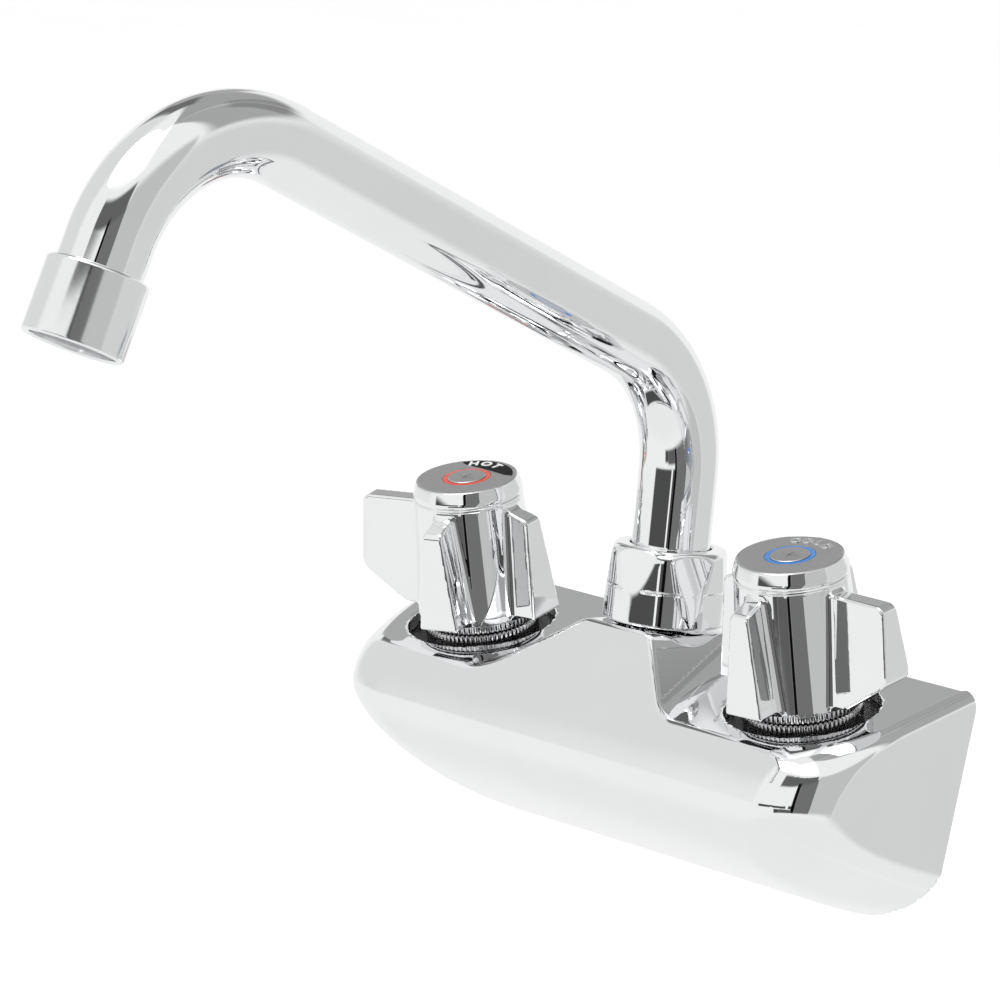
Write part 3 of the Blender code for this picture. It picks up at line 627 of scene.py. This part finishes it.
def valve(tag, side, enamel, word, arc):
    joint = JOINTS[tag + "_handle_turn"]
    lift = Matrix.Translation((side * STATION_X, STATION_Y, SEAT_Z))
    matrix = lift @ Matrix.Rotation(TILT, 4, "X")
    turning = joint["child"]
    def field(x, y, z):
        return handle_field(x, y, z, WING_ANGLES[tag])

    points, quads, normals = skin(field, (-30.5, -30.5, 2.0), (30.5, 30.5, 33.0), 0.5)
    grip = store(tag + "_grip", points, quads, CHROME, normals, matrix)
    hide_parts(tag + "_handle")
    bezel = [(10.2, 31.6), (12.7, 31.6), (12.85, 31.95), (12.8, 32.3)]
    bezel += [(12.5, 32.6), (12.95, 33.0)]
    bezel += [(12.95, 33.8), (12.15, 36.1), (12.0, 36.45), (11.75, 36.5), (11.7, 36.2), (10.2, 36.2)]
    corners = [0, 0.1, 0.1, 0.15, 0.15, 0.2, 0.8, 0.4, 0.15, 0.1, 0, 0]
    rim = turned(tag + "_bezel", bezel, CHROME, matrix, 128, corners)
    foot = [(10.4, 1.9), (13.35, 1.9), (13.6, 2.15), (13.6, 3.75), (13.75, 3.9), (13.6, 4.2)]
    foot += [(10.4, 4.2)]
    teeth = tooth_wave(0.42, (1, 2, 3))
    band = turned(tag + "_foot_band", foot, KNURL_CHROME, matrix, TEETH * 8, None, teeth)
    disc_line = [(0.0, 35.4), (11.65, 35.4), (11.65, 36.4), (11.5, CAP_Z), (5.75, CAP_Z)]
    disc_line += [(5.65, CAP_Z - 0.3), (0.0, CAP_Z - 0.3)]
    disc = turned(tag + "_index_face", disc_line, SATIN, matrix, 128)
    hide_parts(tag + "_index_disc")
    ring_line = [(4.6, 36.0), (5.6, 36.0), (5.6, CAP_Z - 0.04), (5.45, CAP_Z + 0.02)]
    ring_line += [(4.75, CAP_Z + 0.02), (4.6, CAP_Z - 0.04)]
    ring = turned(tag + "_colour_ring", ring_line, enamel, matrix, 96)
    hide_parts(tag + "_index_ring")
    button_line = [(0.0, 36.0), (4.5, 36.0), (4.5, CAP_Z + 0.1), (4.35, CAP_Z + 0.22), (0.0, CAP_Z + 0.3)]
    button = turned(tag + "_centre_button", button_line, SATIN, matrix, 96)
    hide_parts(tag + "_index_button")
    mark = star(tag, matrix)
    text = letters(tag, word, *arc, matrix)
    riders = [grip, rim, band, disc, ring, button, mark, text]
    if tag == "hot":
        riders.append(crescent(tag, matrix))
    for piece in riders:
        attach(piece, turning)
    nut = [(7.5, -6.5), (11.0, -6.5), (11.0, -2.7), (13.2, -2.7), (13.45, -2.45), (13.45, 0.9)]
    nut += [(13.1, 1.2), (12.7, 1.3), (7.5, 1.3)]
    teeth = tooth_wave(0.5, (3, 4, 5, 6))
    lock = turned(tag + "_knurled_nut", nut, KNURL_CHROME, matrix, TEETH * 8, None, teeth)
    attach(lock, "body")
    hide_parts(tag + "_lock_nut")


def star(tag, matrix):
    """Small plain four-armed mark raised on the centre button."""
    bm = bmesh.new()
    for k in range(2):
        arm = bmesh.ops.create_cube(bm, size=1.0)["verts"]
        size = (4.2, 0.42, 0.22) if k == 0 else (0.42, 3.0, 0.22)
        bmesh.ops.scale(bm, vec=size, verts=arm)
        bmesh.ops.translate(bm, vec=(0.0, 0.0, CAP_Z + 0.34 + 0.02 * k), verts=arm)
    bmesh.ops.bevel(bm, geom=bm.edges[:], offset=0.08, segments=2, affect="EDGES")
    bm.transform(Matrix.Scale(MM, 4) @ matrix)
    mesh = bpy.data.meshes.new(tag + "_button_mark")
    bm.to_mesh(mesh)
    bm.free()
    obj = bpy.data.objects.new(tag + "_button_mark", mesh)
    bpy.context.scene.collection.objects.link(obj)
    mesh.materials.append(SATIN)
    return obj


# ----------------------------------------------------------------- spout
BEND_1_Z = 92.9
BEND_RADIUS = 33.8
RISE = math.radians(20.8)
REACH = 174.5
OUTLET_LEAN = math.radians(19.8)
TUBE = 9.1
BORE = 7.6
TUBE_END = 15.8


def arc(corner, before, after, steps):
    turn = before.angle(after)
    reach = BEND_RADIUS * math.tan(turn / 2.0)
    inward = (after - before * before.dot(after)).normalized()
    centre = corner - before * reach + inward * BEND_RADIUS
    made = []
    for i in range(steps + 1):
        angle = turn * i / steps
        spot = centre - inward * BEND_RADIUS * math.cos(angle) + before * BEND_RADIUS * math.sin(angle)
        made.append((spot, before * math.cos(angle) + inward * math.sin(angle)))
    return made


def spout():
    up = Vector((0.0, 0.0, 1.0))
    out = Vector((0.0, -math.cos(RISE), math.sin(RISE)))
    down = Vector((0.0, -math.sin(OUTLET_LEAN), -math.cos(OUTLET_LEAN)))
    first = Vector((0.0, 0.0, BEND_1_Z))
    low, high = arc(first, up, out, 26), arc(first + out * REACH, out, down, 40)
    tip = high[-1][0] + down * TUBE_END
    rows = [(Vector((0.0, 0.0, z)), up, r) for z, r in ((49.9, TUBE - 0.4), (50.3, TUBE))]
    rows += [(Vector((0.0, 0.0, 50.3 + 3.0 * i)), up, TUBE) for i in range(1, 7)]
    rows += [(s, d, TUBE) for s, d in low]
    span = high[0][0] - low[-1][0]
    rows += [(low[-1][0] + span * (i / 30.0), out, TUBE) for i in range(1, 30)]
    rows += [(s, d, TUBE) for s, d in high]
    rows += [(tip, down, TUBE), (tip, down, BORE)]
    rows += [(s, d, BORE) for s, d in reversed(high)] + [(s, d, BORE) for s, d in reversed(low)]
    rows += [(Vector((0.0, 0.0, 49.9)), up, BORE)]
    sides = 72
    verts, faces = [], []
    across = Vector((1.0, 0.0, 0.0))
    shift = Vector((0.0, SPOUT_Y, 0.0))
    for spot, along, radius in rows:
        other = along.cross(across)
        for i in range(sides):
            angle = 2.0 * math.pi * i / sides
            edge = across * math.cos(angle) + other * math.sin(angle)
            verts.append(tuple(spot + shift + edge * radius))
    count = len(rows)
    for r in range(count):
        s = (r + 1) % count
        for i in range(sides):
            j = (i + 1) % sides
            faces.append((r * sides + i, s * sides + i, s * sides + j, r * sides + j))
    tube = store("spout_arm", verts, faces, TUBE_CHROME)
    tidy_normals(tube)
    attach(tube, "spout")
    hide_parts("spout_tube")
    turn = Matrix.Translation(high[-1][0] + shift) @ Matrix.Rotation(math.pi - OUTLET_LEAN, 4, "X")
    return turn


def tidy_normals(obj):
    bm = bmesh.new()
    bm.from_mesh(obj.data)
    bmesh.ops.recalc_face_normals(bm, faces=bm.faces)
    bm.to_mesh(obj.data)
    bm.free()
    obj.data.shade_smooth()
    obj.data.set_sharp_from_angle(angle=math.radians(32.0))


def outlet(turn):
    line = [(9.3, 6.0), (10.2, 6.0), (10.85, 6.6), (10.85, 22.1), (10.5, 22.5), (9.75, 22.5), (9.3, 22.1)]
    radii = [0.1, 0.5, 0.5, 0.3, 0.2, 0.2, 0.1]
    collar = turned("outlet_sleeve", line, COLLAR_CHROME, turn, 96, radii)
    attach(collar, "spout")
    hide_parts("outlet_collar")
    low = TUBE_END + 1.6
    insert = [(0.0, low), (9.1, low), (9.1, low + 3.4), (8.7, low + 3.8), (7.6, low + 3.8)]
    insert += [(7.2, low + 3.2), (0.0, low + 3.2)]
    disc = turned("stream_insert", insert, ACETAL, turn, 96)
    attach(disc, "spout")
    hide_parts("stream_straightener")


NUT_BASE_Z = 35.0
NUT_TOP_Z = 52.7
NUT_RADIUS = 14.1
NUT_FLAT_TILT = math.radians(6.0)
NUT_GROOVE_Z = 43.2


def nut_field(x, y, z):
    """Crowned spout nut with six leaning flats, a groove and a bore for the tube."""
    radius = np.hypot(x, y)
    shape = rounded_and(radius - NUT_RADIUS, z - NUT_TOP_Z, 2.6)
    shape = rounded_and(shape, NUT_BASE_Z - z, 0.6)
    for i in range(6):
        angle = math.radians(-82.0 + 60.0 * i)
        across = x * math.cos(angle) + y * math.sin(angle) - 13.9
        away = across * math.cos(NUT_FLAT_TILT) + (z - NUT_TOP_Z + 11.0) * math.sin(NUT_FLAT_TILT)
        shape = rounded_and(shape, away, 0.35)
    groove = np.hypot(radius - 14.35, z - NUT_GROOVE_Z) - 0.45
    shape = np.maximum(shape, -groove)
    hole = np.minimum(radius - 9.5, np.maximum(radius - 11.1, z - 50.0))
    return np.maximum(shape, -hole)


def coupling():
    points, quads, normals = skin(nut_field, (-15.0, -15.0, 34.0), (15.0, 15.0, 56.0), 0.4)
    shift = Matrix.Translation((0.0, SPOUT_Y, 0.0))
    nut = store("coupling_nut", points, quads, CHROME, normals, shift)
    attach(nut, "body")
    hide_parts("spout_nut")


# ------------------------------------------------------------ other nodes
def carried_over():
    """Give every CAD node that stays its own grained material."""
    finishes = {"cartridge_sleeve": BRASS, "fixed_disc": CERAMIC, "turning_disc": CERAMIC,
                "seat_seal": RUBBER, "stem": BRASS, "stem_o_ring": RUBBER, "handle_screw": STEEL,
                "spout_retaining_ring": BRASS, "spout_o_ring_lower": RUBBER,
                "spout_o_ring_upper": RUBBER, "outlet_washer": RUBBER}
    for name, obj in frame["nodes"].items():
        key = name.split("_", 1)[1] if name.startswith(("hot_", "cold_")) else name
        if key in finishes and not obj.hide_render:
            obj.data.materials.clear()
            obj.data.materials.append(finishes[key])


# ----------------------------------------------------------------- studio
def linear(shade):
    """Linear light for a brightness as the eye reads it, allowing for the plating's own loss."""
    return (shade ** 2.2) / 0.93


TENT_LIGHT = 1.22


def world_cards():
    """A white studio with grey and black cards standing round the object.

    Each card is an azimuth range from the front, an elevation range, a brightness and how
    softly its sides and its ends fade. Only reflections see the cards."""
    world = bpy.data.worlds.new("studio")
    bpy.context.scene.world = world
    world.use_nodes = True
    tree = world.node_tree
    tree.nodes.clear()
    links = tree.links

    def math_node(kind, a, b=None, c=None):
        node = tree.nodes.new("ShaderNodeMath")
        node.operation = kind
        for socket, item in zip(node.inputs, (a, b, c)):
            if item is None:
                continue
            if isinstance(item, (int, float)):
                socket.default_value = item
            else:
                links.new(item, socket)
        return node.outputs[0]

    place = tree.nodes.new("ShaderNodeTexCoord")
    split = tree.nodes.new("ShaderNodeSeparateXYZ")
    links.new(place.outputs["Generated"], split.inputs[0])
    x, y, z = split.outputs
    azimuth = math_node("DEGREES", math_node("ARCTAN2", x, math_node("MULTIPLY", y, -1.0)))
    height = math_node("DEGREES", math_node("ARCSINE", z))

    def window(value, low, high, soft):
        rise = tree.nodes.new("ShaderNodeMapRange")
        rise.interpolation_type = "SMOOTHSTEP"
        rise.inputs["From Min"].default_value = low - soft
        rise.inputs["From Max"].default_value = low + soft
        links.new(value, rise.inputs["Value"])
        fall = tree.nodes.new("ShaderNodeMapRange")
        fall.interpolation_type = "SMOOTHSTEP"
        fall.inputs["From Min"].default_value = high - soft
        fall.inputs["From Max"].default_value = high + soft
        fall.inputs["To Min"].default_value = 1.0
        fall.inputs["To Max"].default_value = 0.0
        links.new(value, fall.inputs["Value"])
        return math_node("MULTIPLY", rise.outputs[0], fall.outputs[0])

    level = None
    for az_low, az_high, el_low, el_high, shade, az_soft, el_soft in CARDS:
        bright = linear(shade)
        across = window(azimuth, az_low, az_high, az_soft)
        mask = math_node("MULTIPLY", across, window(height, el_low, el_high, el_soft))
        if level is None:
            level = math_node("ADD", 0.0, linear(BACKDROP))
        change = math_node("SUBTRACT", bright, level)
        level = math_node("MULTIPLY_ADD", mask, change, level)
    seen = tree.nodes.new("ShaderNodeLightPath")
    shader = tree.nodes.new("ShaderNodeBackground")
    shader.inputs["Color"].default_value = (1.0, 1.0, 1.0, 1.0)
    links.new(level, shader.inputs["Strength"])
    for ray, strength in (("Is Diffuse Ray", TENT_LIGHT), ("Is Camera Ray", 1.0)):
        plain = tree.nodes.new("ShaderNodeBackground")
        plain.inputs["Color"].default_value = (1.0, 1.0, 1.0, 1.0)
        plain.inputs["Strength"].default_value = strength
        mix = tree.nodes.new("ShaderNodeMixShader")
        links.new(seen.outputs[ray], mix.inputs["Fac"])
        links.new(shader.outputs[0], mix.inputs[1])
        links.new(plain.outputs[0], mix.inputs[2])
        shader = mix
    out = tree.nodes.new("ShaderNodeOutputWorld")
    links.new(shader.outputs[0], out.inputs["Surface"])


BACKDROP = 0.93
CARDS = [
    # az low, az high, el low, el high, brightness, az softness, el softness
    (-180.0, 180.1, -91.0, -40.0, 0.91, 6.0, 8.0),
    (-180.1, -118.0, 34.0, 91.0, 0.62, 5.0, 5.0),
    (-126.0, -104.0, 28.0, 58.0, 0.42, 3.0, 3.0),
    (-138.0, -116.0, 19.0, 37.0, 0.65, 2.5, 2.5),
    (-104.0, -42.0, -4.0, 64.0, 0.85, 7.0, 7.0),
    (118.0, 180.1, 33.0, 91.0, 0.64, 5.0, 5.0),
    (160.0, 180.1, 36.0, 62.0, 0.53, 3.0, 3.0),
    (-180.1, -165.0, 36.0, 62.0, 0.55, 3.0, 3.0),
    (108.0, 180.1, -36.0, 28.0, 0.81, 12.0, 10.0),
    (66.0, 112.0, -30.0, 38.0, 0.74, 1.2, 6.0),
    (39.0, 66.0, -31.0, 30.0, 0.43, 0.8, 3.0),
    (13.0, 33.0, -31.0, -18.0, 0.36, 0.5, 2.0),
    (3.0, 13.0, -31.0, -20.0, 0.30, 0.8, 2.0),
    (-26.0, 39.0, -14.0, -2.0, 0.30, 2.0, 1.5),
    (24.0, 28.0, -14.0, -1.0, 0.97, 0.5, 1.0),
    (0.0, 64.0, 27.0, 42.0, 0.38, 1.5, 2.0),
    (33.0, 39.0, -31.0, 30.0, 0.08, 0.6, 2.0),
    (-10.0, 62.0, 50.0, 91.0, 1.08, 4.0, 4.0),
]


def studio():
    world_cards()
    mat, tree, shader = new_material("pale_floor", 0.0, 0.6, (0.9, 0.9, 0.9))
    tint(tree, shader, noise(tree, 3.0, 2.0), (0.89, 0.89, 0.89), (0.91, 0.91, 0.91))
    reach = 6000.0
    floor_z = -110.0
    corners = ((-1, -1), (1, -1), (1, 1), (-1, 1))
    verts = [(i * reach, j * reach, floor_z) for i, j in corners]
    floor = store("floor", verts, [(0, 1, 2, 3)], mat)
    floor.visible_glossy = False
    lamp = bpy.data.lights.new("key", "AREA")
    lamp.shape = "DISK"
    lamp.size = 1.2
    lamp.energy = 10.0
    key = bpy.data.objects.new("key", lamp)
    key.location = (-0.3, -0.9, 1.8)
    key.rotation_euler = Vector((0.3, 0.9, -1.8)).to_track_quat("-Z", "Y").to_euler()
    bpy.context.scene.collection.objects.link(key)


def camera():
    data = bpy.data.cameras.new("camera")
    data.sensor_width = 36.0
    data.lens = 158.84
    data.clip_start = 0.05
    data.clip_end = 60.0
    cam = bpy.data.objects.new("camera", data)
    right = Vector((0.7011, 0.7069, 0.0934)).normalized()
    back = Vector((0.692, -0.7062, 0.1498)).normalized()
    up = back.cross(right).normalized()
    right = up.cross(back).normalized()
    turn = Matrix((right, up, back)).transposed().to_4x4()
    cam.matrix_world = Matrix.Translation((0.6718, -0.76024, 0.2108)) @ turn
    bpy.context.scene.collection.objects.link(cam)
    bpy.context.scene.camera = cam
    bpy.context.scene.view_settings.view_transform = "Standard"


def main():
    camera()
    studio()
    body()
    valve("hot", -1.0, RED, "HOT", (124.0, 82.0))
    valve("cold", 1.0, BLUE, "COLD", (124.0, 66.0))
    coupling()
    outlet(spout())
    carried_over()


main()
